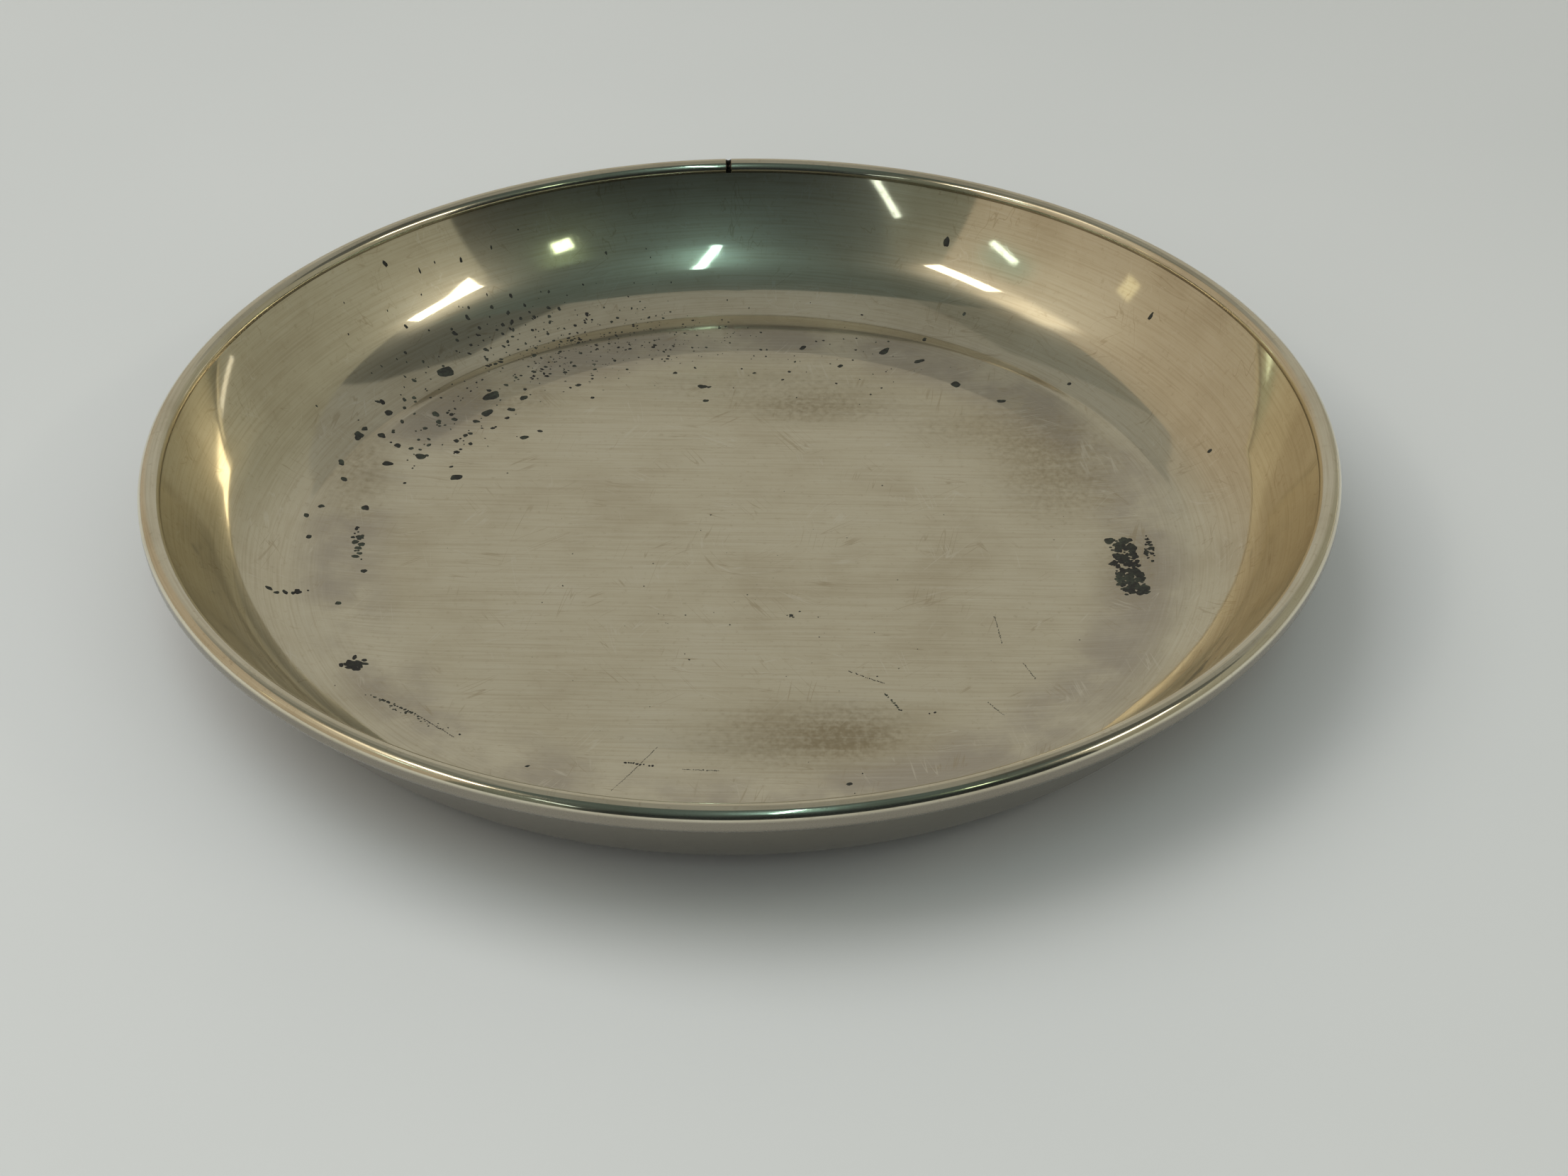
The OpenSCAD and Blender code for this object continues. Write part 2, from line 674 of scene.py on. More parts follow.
class Lathe:
    """Turns a section into a mesh about the vertical axis."""

    def __init__(self, turns: int = 720) -> None:
        """Sets the angles of the copies of the section.

        Args:
            turns: Number of copies round the axis.
        """
        self.angles = np.linspace(0.0, 2 * math.pi, turns, endpoint=False)

    def refine(self, angle: float, width: float, extra: int) -> None:
        """Adds copies about one angle, for a small feature there.

        Args:
            angle: Middle of the feature in radians.
            width: Half its width in radians.
            extra: Copies to add.
        """
        near = angle + np.linspace(-width, width, extra)
        self.angles = np.unique(np.round(np.concatenate([self.angles, near % (2 * math.pi)]), 7))

    def mesh(
        self,
        name: str,
        section: Sequence[Point],
        closed: bool,
        shape: Callable[[np.ndarray, np.ndarray, np.ndarray], Grids] | None = None,
    ) -> bpy.types.Object:
        """Makes the turned piece.

        Args:
            name: Name of the piece.
            section: Points (radius, height) in mm, anticlockwise with the metal on the left.
            closed: True if the last point joins the first; otherwise both ends are on the axis.
            shape: Takes radius, height and angle grids in mm and radians and returns new radius and height.

        Returns:
            The object, linked to the scene.
        """
        rings = np.array(section if closed else section[1:-1], float)
        count, turns = len(rings), len(self.angles)
        radius = np.repeat(rings[:, :1], turns, 1)
        height = np.repeat(rings[:, 1:], turns, 1)
        angle = np.repeat(self.angles[None], count, 0)
        if shape:
            radius, height = shape(radius, height, angle)
        grid = np.stack([radius * np.cos(angle), radius * np.sin(angle), height], -1).reshape(-1, 3)
        index = np.arange(count * turns).reshape(count, turns)
        after = np.roll(index, -1, 1)
        rows = range(count) if closed else range(count - 1)
        faces: list[tuple[int, ...]] = []
        for row in rows:
            top = (row + 1) % count
            faces += zip(index[row], after[row], after[top], index[top])
        points = grid
        if not closed:
            ends = [(0.0, 0.0, float(height[0].mean())), (0.0, 0.0, float(height[-1].mean()))]
            points = np.vstack([grid, ends])
            first, last = len(grid), len(grid) + 1
            faces += zip([first] * turns, after[0], index[0])
            faces += zip([last] * turns, index[-1], after[-1])
        return solid(name, points, faces)


def solid(name: str, points: Iterable[Sequence[float]], faces: Iterable[Sequence[int]]) -> bpy.types.Object:
    """Makes a mesh object from points in mm.

    Args:
        name: Name of the piece.
        points: Vertices in mm.
        faces: Vertex numbers of each face.

    Returns:
        The object, linked to the scene.
    """
    data = bpy.data.meshes.new(name)
    vertices = (np.array(list(points), float) * MM).tolist()
    data.from_pydata(vertices, [], [tuple(int(i) for i in face) for face in faces])
    data.update()
    made = bpy.data.objects.new(name, data)
    bpy.context.scene.collection.objects.link(made)
    return made


def dress(piece: bpy.types.Object, material: bpy.types.Material, crease: float = 40.0) -> None:
    """Smooths a piece, keeps its sharp edges and gives it a material.

    Args:
        piece: The object.
        material: Its finish.
        crease: Angle in degrees above which an edge stays sharp.
    """
    piece.data.shade_smooth()
    piece.data.set_sharp_from_angle(angle=math.radians(crease))
    piece.data.materials.append(material)


@dataclass
class SpunBowl:
    """The dish body: a flat floor, a turned wall and a trimmed edge, in sheet of even thickness."""

    profile: DishProfile
    turns: int = 432
    fine: int = 60
    unevenness: float = 0.010
    longest_wave: float = 42.0
    calm: float = 4.0
    seed: int = 11
    waves: list[tuple[float, float, float, float]] = field(default_factory=list)
    inner_rows: int = 0

    def _shape(self, radius: np.ndarray, height: np.ndarray, angle: np.ndarray) -> Grids:
        """Gives the inside face its soft cove and the slight unevenness of hand polishing.

        Args:
            radius: Radii of the points in mm.
            height: Their heights in mm.
            angle: Their angles in radians.

        Returns:
            The new radii and heights.
        """
        x, y = radius * np.cos(angle), radius * np.sin(angle)
        wave = np.zeros_like(x)
        for across, along, phase, size in self.waves:
            wave += size * np.sin(across * x + along * y + phase)
        quiet = np.clip((self.profile.lip[0] - radius) / self.calm, 0.0, 1.0)
        cove = np.array([self.profile.dishing(float(r)) for r in radius[:, 0]])[:, None]
        rows = np.zeros_like(x)
        rows[: self.inner_rows] = 1.0
        return radius, height + rows * (cove + wave * quiet)

    def build(self, finish: SilverFinish) -> bpy.types.Object:
        """Builds the bowl over its CAD solid.

        Args:
            finish: The silver of the sheet.

        Returns:
            The piece.
        """
        draw = random.Random(self.seed)
        for _ in range(7):
            turn, length = draw.uniform(0, 2 * math.pi), draw.uniform(14.0, self.longest_wave)
            size = self.unevenness * length / self.longest_wave * draw.uniform(0.5, 1.0)
            step = 2 * math.pi / length
            self.waves.append((step * math.cos(turn), step * math.sin(turn), draw.uniform(0, 6.28), size))
        shape = self.profile
        radii = [*np.linspace(0.0, 30.0, 31), *np.arange(30.2, shape.floor_radius, 0.2), shape.floor_radius]
        inside = [(float(r), shape.sheet) for r in radii] + shape.curve(0.0, self.fine)
        under = [(shape.floor_radius * i / 12, 0.0) for i in range(13)]
        self.inner_rows = len(inside) - 1
        section = inside + shape.curve(shape.sheet, self.fine // 2)[::-1] + under[::-1]
        piece = Lathe(self.turns).mesh("dish_body_sheet", section, False, self._shape)
        piece.data.flip_normals()
        dress(piece, finish.make())
        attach(piece, BODY)
        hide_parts("dish_body")
        LOG.info("bowl: %d faces", len(piece.data.polygons))
        return piece


@dataclass
class RimWire:
    """The rounded wire that is stepped over the sheet's trimmed edge, with its butt seam."""

    profile: DishProfile
    turns: int = 900
    seam_angle: float = SEAM_ANGLE
    seam_half_width: float = 0.006
    seam_depth: float = 0.16
    dent: float = 0.012
    dent_waves: int = 24
    arc_steps: int = 32
    skirt_steps: int = 8
    under_turn: float = 0.79 * math.pi
    seed: int = 5

    def _shape(self, radius: np.ndarray, height: np.ndarray, angle: np.ndarray) -> Grids:
        """Cuts the seam and adds the small dents of use.

        Args:
            radius: Radii of the points in mm.
            height: Their heights in mm.
            angle: Their angles in radians.

        Returns:
            The new radii and heights.
        """
        shape = self.profile
        middle = (shape.wire_top + shape.wire_bottom) / 2
        out_r, out_z = radius - shape.wire_x, height - middle
        away = np.abs((angle - self.seam_angle + math.pi) % (2 * math.pi) - math.pi)
        notch = self.seam_depth * np.clip(1 - away / self.seam_half_width, 0, 1) ** 0.6
        draw = random.Random(self.seed)
        dents = np.zeros_like(angle)
        for _ in range(self.dent_waves):
            count, phase = draw.randint(3, 60), draw.uniform(0, 2 * math.pi)
            dents += np.sin(count * angle + phase) * draw.uniform(0.2, 1.0) / self.dent_waves
        shrink = notch + self.dent * (1 + dents) * 0.5
        size = np.hypot(out_r, out_z)
        keep = 1 - np.where(height > shape.wire_bottom - 0.2, shrink, 0.0) / np.maximum(size, 0.5)
        outer = (height > shape.lip[1] + 0.01) | (radius > shape.wire_x + 0.6)
        keep = np.where(outer, keep, 1.0)
        return shape.wire_x + out_r * keep, middle + out_z * keep

    def build(self, finish: SilverFinish) -> bpy.types.Object:
        """Builds the wire over its CAD solid.

        Args:
            finish: The silver of the wire.

        Returns:
            The piece.
        """
        shape = self.profile
        section: list[Point] = []
        for step in range(self.arc_steps + 1):
            turn = math.pi * (1 - step / self.arc_steps)
            x = shape.wire_x + shape.wire_radius * math.cos(turn)
            section.append((x, shape.wire_top + shape.wire_radius * math.sin(turn)))
        for step in range(self.arc_steps + 1):
            turn = -self.under_turn * step / self.arc_steps
            x = shape.wire_x + shape.wire_radius * math.cos(turn)
            z = shape.wire_bottom + shape.wire_radius * math.sin(turn)
            if x > shape.wall_face(z):
                section.append((x, z))
        low = section[-1][1]
        for step in range(1, self.skirt_steps + 1):
            z = low + (shape.lip[1] - low) * step / self.skirt_steps
            section.append((shape.wall_face(z), z))
        section.append((shape.wire_x - shape.wire_radius, shape.lip[1]))
        lathe = Lathe(self.turns)
        lathe.refine(self.seam_angle, self.seam_half_width * 1.3, 27)
        piece = lathe.mesh("rim_wire_ring", section, True, self._shape)
        dress(piece, finish.make())
        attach(piece, BODY)
        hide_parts("rim_wire")
        LOG.info("rim wire: %d faces", len(piece.data.polygons))
        return piece


@dataclass
class RimSolder:
    """The bead of solder in the crease under the wire."""

    profile: DishProfile
    turns: int = 540
    waver: float = 0.05
    waver_waves: int = 14
    round_from: float = -165.0
    round_sweep: float = 250.0
    round_steps: int = 40
    crease_x: float = 53.44
    crease_steps: int = 12
    wall_steps: int = 8
    seed: int = 3

    def _shape(self, radius: np.ndarray, height: np.ndarray, angle: np.ndarray) -> Grids:
        """Lets the run of solder waver a little round the rim.

        Args:
            radius: Radii of the points in mm.
            height: Their heights in mm.
            angle: Their angles in radians.

        Returns:
            The new radii and heights.
        """
        draw = random.Random(self.seed)
        wave = np.zeros_like(angle)
        for _ in range(self.waver_waves):
            count, phase = draw.randint(4, 70), draw.uniform(0, 2 * math.pi)
            wave += np.sin(count * angle + phase) / self.waver_waves
        low = height.max() - height
        share = np.clip(low / max(float(low.max()), 1e-6), 0, 1)
        return radius - share * self.waver * (1 + wave), height + share * self.waver * (1 + wave)

    def build(self, finish: SilverFinish) -> bpy.types.Object:
        """Builds the solder over its CAD solid.

        Args:
            finish: The silver of the solder.

        Returns:
            The piece.
        """
        shape = self.profile
        low = shape.wire_bottom - shape.wire_radius
        z = low - shape.solder_drop
        middle = (shape.wall_face(z) + shape.solder_bite * shape.solder_radius, z)
        round_part = []
        for step in range(self.round_steps + 1):
            turn = math.radians(self.round_from + self.round_sweep * step / self.round_steps)
            point = (
                middle[0] + shape.solder_radius * math.cos(turn),
                middle[1] + shape.solder_radius * math.sin(turn),
            )
            in_wire = math.hypot(point[0] - shape.wire_x, point[1] - shape.wire_bottom) < shape.wire_radius
            if point[0] > shape.wall_face(point[1]) and not in_wire:
                round_part.append(point)
        start = round_part[-1][0]
        under_wire = []
        for step in range(1, self.crease_steps + 1):
            x = start - (start - self.crease_x) * step / self.crease_steps
            drop = math.sqrt(shape.wire_radius**2 - (x - shape.wire_x) ** 2)
            under_wire.append((x, shape.wire_bottom - drop))
        foot = round_part[0][1]
        head = under_wire[-1][1]
        heights = [head + (foot - head) * step / self.wall_steps for step in range(1, self.wall_steps)]
        wall = [(shape.wall_face(z), z) for z in heights]
        piece = Lathe(self.turns).mesh("rim_solder_bead", round_part + under_wire + wall, True, self._shape)
        piece.data.flip_normals()
        dress(piece, finish.make())
        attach(piece, BODY)
        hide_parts("rim_solder")
        LOG.info("solder: %d faces", len(piece.data.polygons))
        return piece


@dataclass(frozen=True)
class SpotPatch:
    """A patch of small spots: its middle, half widths, how many and their radii, in mm."""

    x: float
    y: float
    half_x: float
    half_y: float
    count: int
    small: float
    large: float
    turn: float = 0.0
    filled: bool = False

    def draw(self, draw: random.Random) -> tuple[float, float, float]:
        """Draws one spot of the patch.

        Args:
            draw: The random numbers.

        Returns:
            The spot's place and radius in mm.
        """
        if self.filled:
            u, v = draw.uniform(-1, 1) * self.half_x, draw.uniform(-1, 1) * self.half_y
        else:
            u, v = draw.gauss(0.0, 0.5) * self.half_x, draw.gauss(0.0, 0.5) * self.half_y
        turn = math.radians(self.turn)
        reach = self.small + (self.large - self.small) * draw.random() ** 2.5
        x = self.x + u * math.cos(turn) - v * math.sin(turn)
        return x, self.y + u * math.sin(turn) + v * math.cos(turn), reach


@dataclass(frozen=True)
class Nick:
    """A short dark scratch from one point to another, with its half width, in mm."""

    start: Point
    end: Point
    half_width: float


@dataclass
class TarnishSpots:
    """Corrosion pits and specks, each a thin crust with a ragged outline let into the silver."""

    profile: DishProfile
    pits: Sequence[tuple[float, float, float]]
    patches: Sequence[SpotPatch]
    nicks: Sequence[Nick]
    seed: int = 21
    rim_gap: float = 0.2
    small: float = 0.2
    few_sides: int = 10
    many_sides: int = 18
    edge_sink: float = 0.012
    root_sink: float = 0.05
    nick_gaps: float = 0.12
    nick_stray: float = 0.35
    points: list[Vector] = field(default_factory=list)
    faces: list[tuple[int, ...]] = field(default_factory=list)

    def _spot(self, draw: random.Random, x: float, y: float, reach: float) -> None:
        """Adds one spot, following the slope of the dish under it.

        Args:
            draw: The random numbers.
            x: First coordinate in mm.
            y: Second coordinate in mm.
            reach: Radius in mm.
        """
        radius = math.hypot(x, y)
        if radius > self.profile.lip[0] - reach - self.rim_gap:
            return
        sides = self.few_sides if reach < self.small else self.many_sides
        stretch, lean = draw.uniform(0.75, 1.25), draw.uniform(0, math.pi)
        waves = [(k, draw.uniform(-0.22, 0.22) / (k * 0.6), draw.uniform(0, 6.28)) for k in (2, 3, 4, 5, 7)]
        first = len(self.points)
        rise = min(0.02 + 0.03 * reach, 0.04)
        for share, lift in ((1.0, -self.edge_sink), (0.82, rise * 0.6), (0.45, rise)):
            for side in range(sides):
                turn = 2 * math.pi * side / sides
                size = 1 + sum(a * math.cos(k * turn + p) for k, a, p in waves)
                far = reach * share * size
                u, v = far * math.cos(turn) * stretch, far * math.sin(turn) / stretch
                across = u * math.cos(lean) - v * math.sin(lean)
                along = u * math.sin(lean) + v * math.cos(lean)
                self._place(x + across, y + along, lift)
        self._place(x, y, rise * draw.uniform(0.4, 1.0))
        self._place(x, y, -self.root_sink)
        middle, below = first + 3 * sides, first + 3 * sides + 1
        for side in range(sides):
            after = (side + 1) % sides
            self.faces.append((below, first + after, first + side))
            for ring in range(2):
                a, b = first + ring * sides, first + (ring + 1) * sides
                self.faces.append((a + side, a + after, b + after, b + side))
            self.faces.append((first + 2 * sides + side, first + 2 * sides + after, middle))

    def _place(self, x: float, y: float, lift: float) -> None:
        """Adds a point on the inside face, raised along its normal."""
        radius = math.hypot(x, y)
        height, slope = self.profile.inside(radius)
        back = lift * math.sin(slope) / max(radius, 1e-6)
        self.points.append(Vector((x - back * x, y - back * y, height + lift * math.cos(slope))))

    def build(self, finish: CrustFinish) -> bpy.types.Object:
        """Builds every spot as one piece.

        Args:
            finish: The crust's material.

        Returns:
            The piece.
        """
        draw = random.Random(self.seed)
        for x, y, reach in self.pits:
            self._spot(draw, x, y, reach)
        for patch in self.patches:
            for _ in range(patch.count):
                self._spot(draw, *patch.draw(draw))
        for nick in self.nicks:
            run = math.dist(nick.start, nick.end)
            count = max(2, int(run / (nick.half_width * 1.6)))
            for step in range(count):
                share = step / (count - 1)
                if draw.random() < self.nick_gaps:
                    continue
                x = nick.start[0] + (nick.end[0] - nick.start[0]) * share
                y = nick.start[1] + (nick.end[1] - nick.start[1]) * share
                x += draw.gauss(0.0, self.nick_stray) * nick.half_width
                y += draw.gauss(0.0, self.nick_stray) * nick.half_width
                self._spot(draw, x, y, nick.half_width * draw.uniform(0.6, 1.15))
        piece = solid("tarnish_spots", self.points, self.faces)
        dress(piece, finish.make())
        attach(piece, BODY)
        LOG.info("tarnish spots: %d faces", len(piece.data.polygons))
        return piece


def heading(azimuth: float, elevation: float) -> Vector:
    """The way to a place in the room.

    Args:
        azimuth: Degrees from +Y towards +X.
        elevation: Degrees above the table.

    Returns:
        A unit vector.
    """
    a, e = math.radians(azimuth), math.radians(elevation)
    return Vector((math.sin(a) * math.cos(e), math.cos(a) * math.cos(e), math.sin(e)))


@dataclass(frozen=True)
class Lamp:
    """A soft box: the way to it in degrees, size in degrees as the dish sees it, brightness and colour."""

    name: str
    azimuth: float
    elevation: float
    width: float
    height: float
    bright: float
    colour: Colour
    roll: float = 0.0
    in_metal: bool = True
    distance: float = 0.9

    def build(self) -> bpy.types.Object:
        """Makes the lamp, turned to the dish.

        Returns:
            The lamp's object.
        """
        data = bpy.data.lights.new(self.name, "AREA")
        data.shape = "RECTANGLE"
        data.size = 2 * self.distance * math.tan(math.radians(self.width / 2))
        data.size_y = 2 * self.distance * math.tan(math.radians(self.height / 2))
        data.energy = math.pi * self.bright * data.size * data.size_y
        data.color = self.colour
        made = bpy.data.objects.new(self.name, data)
        way = heading(self.azimuth, self.elevation)
        made.location = way * self.distance
        turn = way.to_track_quat("Z", "Y") @ Quaternion((0.0, 0.0, 1.0), math.radians(self.roll))
        made.rotation_euler = turn.to_euler()
        made.visible_glossy = self.in_metal
        bpy.context.scene.collection.objects.link(made)
        return made


@dataclass(frozen=True)
class Pane:
    """A pale patch of the room: the way to its middle, its half size and its soft edge in degrees."""

    azimuth: float
    elevation: float
    half_width: float
    half_height: float
    soft: float
    colour: Colour

    def share(self, graph: Graph, way: Sock) -> Sock:
        """Where the patch is seen.

        Args:
            graph: The world's graph.
            way: The direction looked in.

        Returns:
            1 in the patch and 0 off it.
        """
        ahead = heading(self.azimuth, self.elevation)
        right = ahead.cross(Vector((0.0, 0.0, 1.0))).normalized()
        across = abs(graph.dot(way, right)).ease(*self._edge(self.half_width))
        upward = abs(graph.dot(way, right.cross(ahead))).ease(*self._edge(self.half_height))
        return across * upward * graph.dot(way, ahead).ease(0.0, 0.1)

    def _edge(self, half: float) -> Point:
        """The sines between which the patch fades, for one of its half sizes in degrees."""
        inner = max(half - self.soft, 0.0)
        return math.sin(math.radians(half + self.soft)), math.sin(math.radians(inner))


@dataclass(frozen=True)
class Room:
    """The room that the silver shows: pale walls, a dim ceiling and the dark behind the camera."""

    panes: Sequence[Pane]
    front: Colour = (0.40, 0.39, 0.345)
    right: Colour = (0.28, 0.275, 0.22)
    left: Colour = (0.40, 0.345, 0.265)
    ceiling: Colour = (0.262, 0.262, 0.236)
    wing_left: Colour = (0.170, 0.178, 0.158)
    wing_right: Colour = (0.075, 0.080, 0.074)
    dark_low: Colour = (0.016, 0.020, 0.021)
    dark_high: Colour = (0.070, 0.094, 0.090)
    dark_left: Colour = (0.125, 0.140, 0.115)

    def build(self) -> None:
        """Makes the world. The eases below place its edges by the sines of their angles."""
        world = bpy.data.worlds.new("room")
        bpy.context.scene.world = world
        world.use_nodes = True
        graph = Graph(world.node_tree)
        way = graph.out("ShaderNodeTexCoord", "Generated")
        x, y, z = graph.parts(way)
        colour = self._dark(graph, x, y, z, self._walls(graph, x, y, z))
        for pane in self.panes:
            colour = graph.mix(pane.share(graph, way), colour, pane.colour)
        seen = graph.out("ShaderNodeLightPath", "Is Camera Ray")
        colour = graph.mix(seen, colour, BACKDROP)
        back = graph.out("ShaderNodeBackground", 0, None, {0: colour, 1: 1.0})
        graph.node("ShaderNodeOutputWorld", None, {"Surface": back})

    def _walls(self, graph: Graph, x: Sock, y: Sock, z: Sock) -> Sock:
        """The walls up to their top edge, and the ceiling with its two darker wings.

        Args:
            graph: The world's graph.
            x: The way's share to the right.
            y: The way's share ahead.
            z: The way's share upward.

        Returns:
            Their colour.
        """
        flat = (x * x + y * y) ** 0.5
        walls = graph.mix((x / flat).ease(0.30, 0.75), self.front, self.right)
        walls = graph.mix((x / flat).ease(-0.30, -0.75), walls, self.left)
        across, along = x / z.most(0.05), y / z.most(0.05)
        wing = (abs(across) - 0.34).ease(0.0, 0.03)
        reach = (across * 0.15 + 0.38).most(across * -0.85 + 0.15)
        shade = graph.mix(x.ease(-0.05, 0.05), self.wing_left, self.wing_right)
        ceiling = graph.mix(wing * (reach - along).ease(0.0, 0.04), self.ceiling, shade)
        edge = (flat * 0.74 + y * 0.08).most(x * -1.22)
        return graph.mix((edge - z).ease(-0.012, 0.012), ceiling, walls)

    def _dark(self, graph: Graph, x: Sock, y: Sock, z: Sock, colour: Sock) -> Sock:
        """Lays the dark behind the camera over the room.

        Args:
            graph: The world's graph.
            x: The way's share to the right.
            y: The way's share ahead.
            z: The way's share upward.
            colour: The room's colour.

        Returns:
            The new colour.
        """
        dark = graph.mix(z.ease(0.30, 0.80), self.dark_low, self.dark_high)
        dark = graph.mix(x.ease(-0.42, -0.50) * z.ease(0.75, 0.60), dark, self.dark_left)
        low = (0 - y - x * 0.53).least(x * 0.84 - y).ease(0.0, 0.02)
        high = (0 - y).ease(0.02, 0.04) * z.ease(0.66, 0.70)
        return graph.mix(low.most(high), colour, dark)


@dataclass
class Studio:
    """The table, the room, the lamps and the camera.

    The camera's place is in mm and its pitch and roll are in radians.
    """

    lamps: Sequence[Lamp]
    room: Room
    camera_place: tuple[float, float, float] = (3.947, -216.206, 151.511)
    camera_pitch: float = 0.624659
    camera_roll: float = 0.0062184
    focal_pixels: float = 3900.0
    image_width: float = 2212.0
    sensor: float = 36.0
    table_reach: float = 2600.0

    def camera(self) -> bpy.types.Object:
        """Sets the camera where the photograph was taken from.

        Returns:
            The camera.
        """
        data = bpy.data.cameras.new("camera")
        data.sensor_width = self.sensor
        data.lens = self.focal_pixels / self.image_width * self.sensor
        data.clip_start, data.clip_end = 0.005, 20.0
        made = bpy.data.objects.new("camera", data)
        pitch, roll = self.camera_pitch, self.camera_roll
        ahead = Vector((0.0, math.cos(pitch), -math.sin(pitch)))
        down = ahead.cross(Vector((1.0, 0.0, 0.0)))
        right = Vector((1.0, 0.0, 0.0)) * math.cos(roll) + down * math.sin(roll)
        low = down * math.cos(roll) - Vector((1.0, 0.0, 0.0)) * math.sin(roll)
        turn = Matrix((right, -low, -ahead)).transposed()
        made.matrix_world = Matrix.Translation(Vector(self.camera_place) * MM) @ turn.to_4x4()
        bpy.context.scene.collection.objects.link(made)
        bpy.context.scene.camera = made
        return made

    def table(self, finish: TableFinish) -> bpy.types.Object:
        """Lays the table under the dish.

        Args:
            finish: Its material.

        Returns:
            The table.
        """
        far = self.table_reach
        corners = [(-far, -far, 0.0), (far, -far, 0.0), (far, far, 0.0), (-far, far, 0.0)]
        made = solid("table", corners, [(0, 1, 2, 3)])
        made.data.materials.append(finish.make())
        return made

    def build(self) -> None:
        """Makes everything round the dish."""
        self.camera()
        self.room.build()
        self.table(TableFinish())
        for lamp in self.lamps:
            lamp.build()
        LOG.info("studio: %d lamps", len(self.lamps))


LAMPS = (
    Lamp("key", -84.0, 62.0, 44.0, 44.0, 1.70, (0.97, 0.98, 1.0), 0.0, False, 0.62),
    Lamp("fill", 180.0, 62.0, 84.0, 84.0, 0.66, (0.99, 0.99, 1.0), 0.0, False, 0.7),
    Lamp("window_right", 103.0, 37.5, 16.5, 4.8, 5.4, (1.0, 0.95, 0.80), 4.0),
    Lamp("lamp_green", 136.5, 37.5, 3.8, 3.0, 4.8, (0.80, 1.0, 0.70)),
    Lamp("tube_cool", 169.8, 57.5, 1.4, 23.0, 10.0, (0.62, 1.0, 0.98), -13.0),
    Lamp("tube_thin", 211.5, 27.0, 1.4, 13.5, 2.8, (0.85, 1.0, 0.95), 36.0),
    Lamp("window_left", 240.5, 46.0, 15.5, 4.4, 5.4, (1.0, 0.94, 0.80), -15.0),
    Lamp("tube_left", 242.3, 31.0, 7.0, 1.6, 2.8, (0.80, 1.0, 0.92), -15.0),
    Lamp("low_strip", 50.0, 4.4, 17.0, 1.0, 1.1, (1.0, 0.95, 0.82)),
)

PANES = (
    Pane(262.0, 38.0, 12.0, 15.0, 9.0, (0.54, 0.49, 0.395)),
    Pane(262.0, 47.0, 9.0, 5.0, 3.0, (1.20, 1.09, 0.87)),
    Pane(268.5, 18.3, 1.7, 2.4, 0.6, (1.00, 0.90, 0.60)),
    Pane(103.0, 38.5, 9.0, 5.0, 5.0, (0.62, 0.58, 0.47)),
    Pane(240.5, 46.0, 9.0, 5.0, 5.0, (0.55, 0.50, 0.40)),
    Pane(242.3, 31.0, 5.0, 3.0, 3.0, (0.26, 0.36, 0.30)),
    Pane(169.0, 54.0, 4.5, 9.0, 4.5, (0.17, 0.30, 0.285)),
    Pane(136.5, 38.0, 3.5, 3.5, 3.5, (0.24, 0.33, 0.21)),
)

PITS = (
    (-31.1, 30.3, 0.75), (-26.1, 26.9, 0.80), (-22.8, 26.8, 0.45), (-26.3, 23.9, 0.60), (-23.9, 24.6, 0.40),
    (-36.2, 22.8, 0.40), (-31.5, 23.2, 0.40), (-38.7, 18.6, 0.45), (-36.5, 18.9, 0.40), (-32.3, 15.8, 0.50),
    (-35.4, 14.2, 0.45), (-39.9, 13.8, 0.40), (-39.3, 11.0, 0.35), (-28.4, 12.2, 0.55), (-22.2, 19.4, 0.45),
    (-40.9, 6.2, 0.30), (-36.7, 6.5, 0.40), (-42.1, 4.5, 0.30), (-15.7, 26.9, 0.30), (-4.4, 29.0, 0.45),
    (-4.0, 26.2, 0.30), (-7.3, 31.7, 0.25), (-17.3, 29.3, 0.35), (14.7, 35.2, 0.55), (18.3, 33.2, 0.45),
    (21.9, 28.8, 0.55), (26.4, 25.4, 0.40), (6.1, 36.3, 0.35), (10.0, 32.8, 0.30), (21.6, 45.7, 0.35),
    (19.0, 37.0, 0.30), (33.5, 27.3, 0.25), (23.3, 39.4, 0.22), (41.6, 29.1, 0.25), (45.7, 11.0, 0.25),
    (-37.3, -9.4, 0.30), (-41.4, 1.0, 0.30), (-18.1, -33.2, 0.22), (4.6, -11.2, 0.22), (9.4, -35.7, 0.25),
)

PATCHES = (
    SpotPatch(36.2, -4.0, 1.15, 4.6, 240, 0.14, 0.52, 4.0, True),
    SpotPatch(38.6, -1.8, 0.7, 2.0, 30, 0.12, 0.42, 0.0),
    SpotPatch(-36.6, 0.8, 0.5, 3.6, 26, 0.10, 0.34, 4.0),
    SpotPatch(-41.4, -8.1, 1.9, 0.4, 12, 0.10, 0.35, 20.0),
    SpotPatch(-34.8, -18.8, 1.0, 0.8, 18, 0.25, 0.70, -20.0),
    SpotPatch(-28.8, -26.2, 5.5, 0.5, 34, 0.06, 0.20, -33.0),
    SpotPatch(-31.0, 22.0, 9.0, 9.0, 90, 0.08, 0.34, 0.0),
    SpotPatch(-20.0, 35.0, 13.0, 7.0, 320, 0.07, 0.26, 12.0),
    SpotPatch(-12.0, 39.0, 14.0, 6.0, 200, 0.05, 0.20, 0.0),
    SpotPatch(8.0, 33.0, 14.0, 7.0, 44, 0.05, 0.18, 0.0),
    SpotPatch(0.0, -10.0, 30.0, 22.0, 70, 0.03, 0.10, 0.0),
)

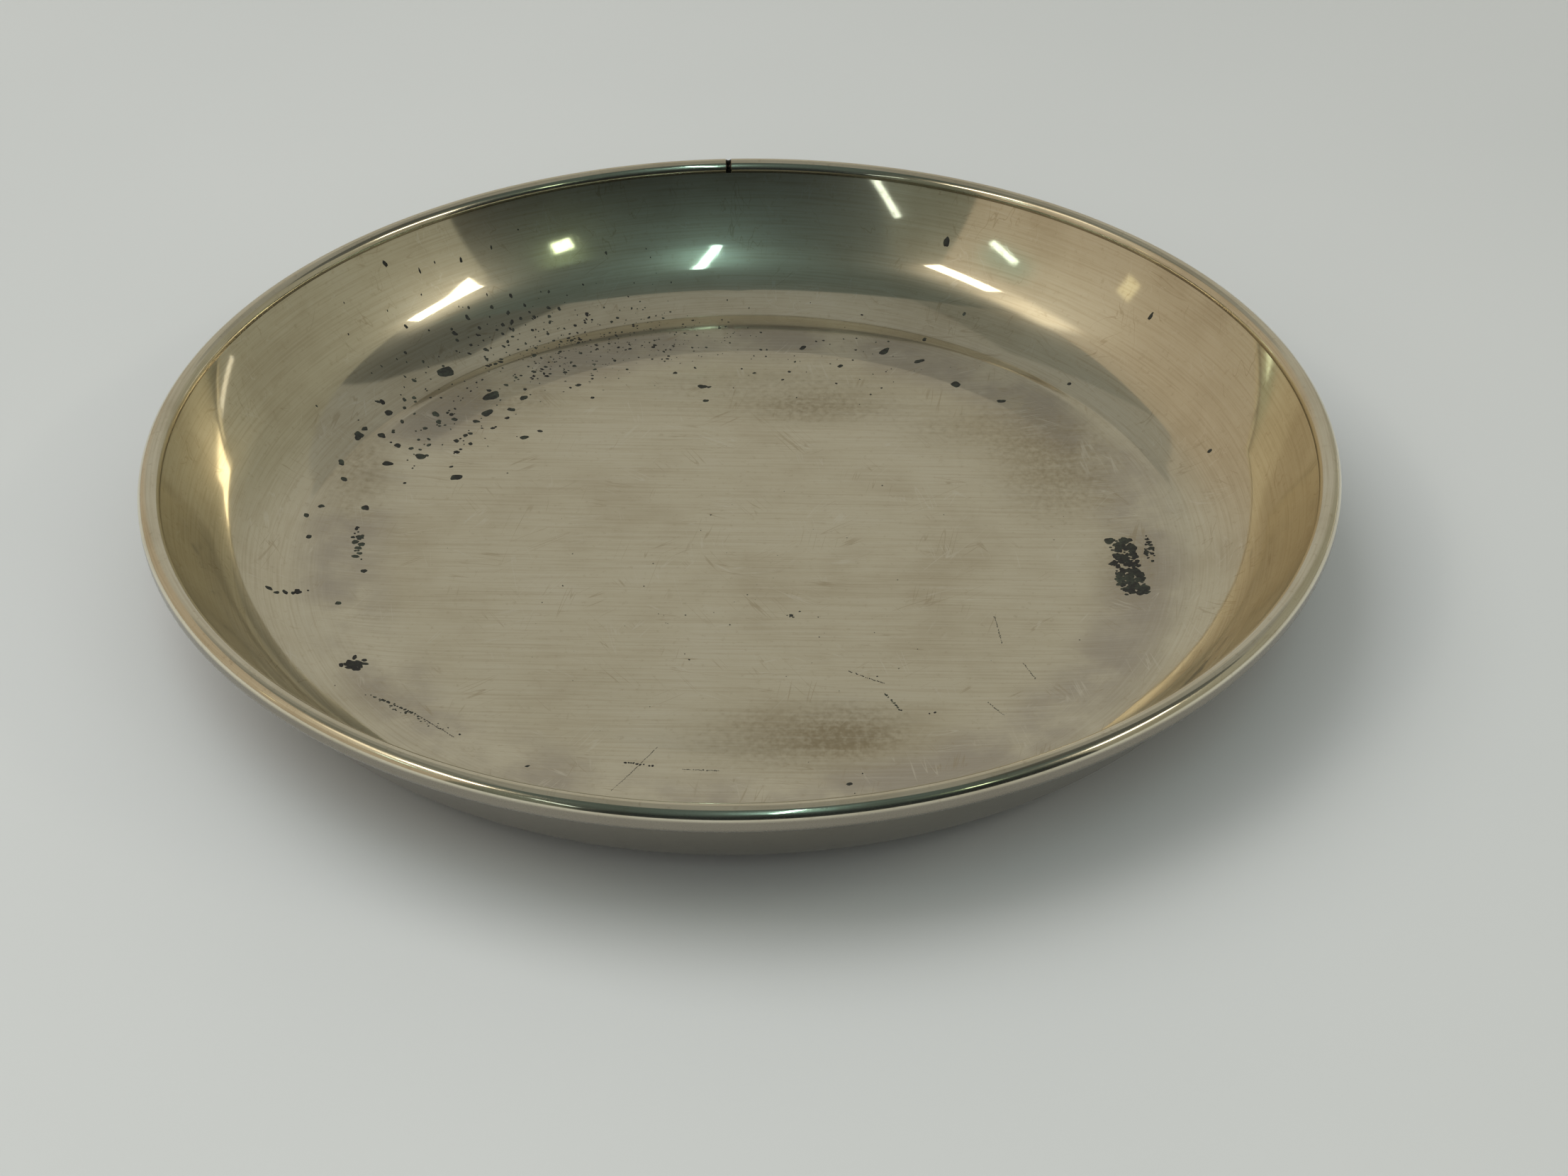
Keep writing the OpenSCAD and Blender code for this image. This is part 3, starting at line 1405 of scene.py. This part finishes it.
NICKS = (
    Nick((12.9, -23.1), (14.2, -25.4), 0.13),
    Nick((-9.8, -32.5), (-7.4, -32.9), 0.14),
    Nick((23.3, -11.6), (23.7, -15.7), 0.07),
    Nick((25.4, -18.7), (26.3, -21.0), 0.08),
    Nick((21.9, -24.4), (23.1, -26.3), 0.08),
    Nick((9.7, -19.7), (12.8, -21.5), 0.07),
    Nick((-32.3, -23.7), (-28.4, -26.0), 0.16),
    Nick((-28.4, -26.0), (-24.8, -29.2), 0.07),
    Nick((-4.8, -33.4), (-1.8, -33.6), 0.07),
    Nick((4.2, -11.2), (4.7, -11.5), 0.12),
    Nick((5.4, -10.6), (5.8, -10.8), 0.12),
    Nick((-10.8, -36.6), (-7.1, -30.3), 0.05),
    Nick((16.6, -25.8), (17.1, -25.8), 0.16),
)

SMUDGES = (
    Smudge(7.0, -28.8, 15.0, 7.0, 0.75),
    Smudge(9.5, -29.6, 6.0, 3.0, 0.40),
    Smudge(7.5, 24.4, 11.0, 4.5, 0.40),
    Smudge(4.0, 28.0, 22.0, 8.0, 0.30),
    Smudge(31.0, 13.0, 9.0, 14.0, 0.60),
    Smudge(24.0, 20.5, 12.0, 8.0, 0.35),
    Smudge(-12.0, -22.0, 9.0, 4.0, 0.10),
    Smudge(36.4, -4.1, 5.0, 9.0, 0.45),
    Smudge(-38.0, 12.0, 5.0, 12.0, 0.45),
    Smudge(-33.0, -24.0, 8.0, 5.0, 0.18),
    Smudge(-26.0, 27.0, 12.0, 7.0, 0.40),
)


def main() -> None:
    """Builds the studio and the dish, piece by piece."""
    bpy.context.scene.view_settings.view_transform = "Standard"
    profile = DishProfile()
    Studio(LAMPS, Room(PANES)).build()
    sheet = SilverFinish("silver_sheet", Grain.STRAIGHT_THEN_ROUND, smudges=SMUDGES)
    wire = SilverFinish(
        "silver_wire",
        Grain.ROUND,
        polish=0.06,
        haze=0.22,
        haze_share=0.35,
        line_height=0.00015,
        scratched=0.25,
        seamed=True,
    )
    solder = SilverFinish("silver_solder", Grain.ROUND, polish=0.16, haze=0.34)
    SpunBowl(profile).build(sheet)
    RimWire(profile).build(wire)
    RimSolder(profile).build(solder)
    TarnishSpots(profile, PITS, PATCHES, NICKS).build(CrustFinish())


if __name__ == "__main__":
    main()
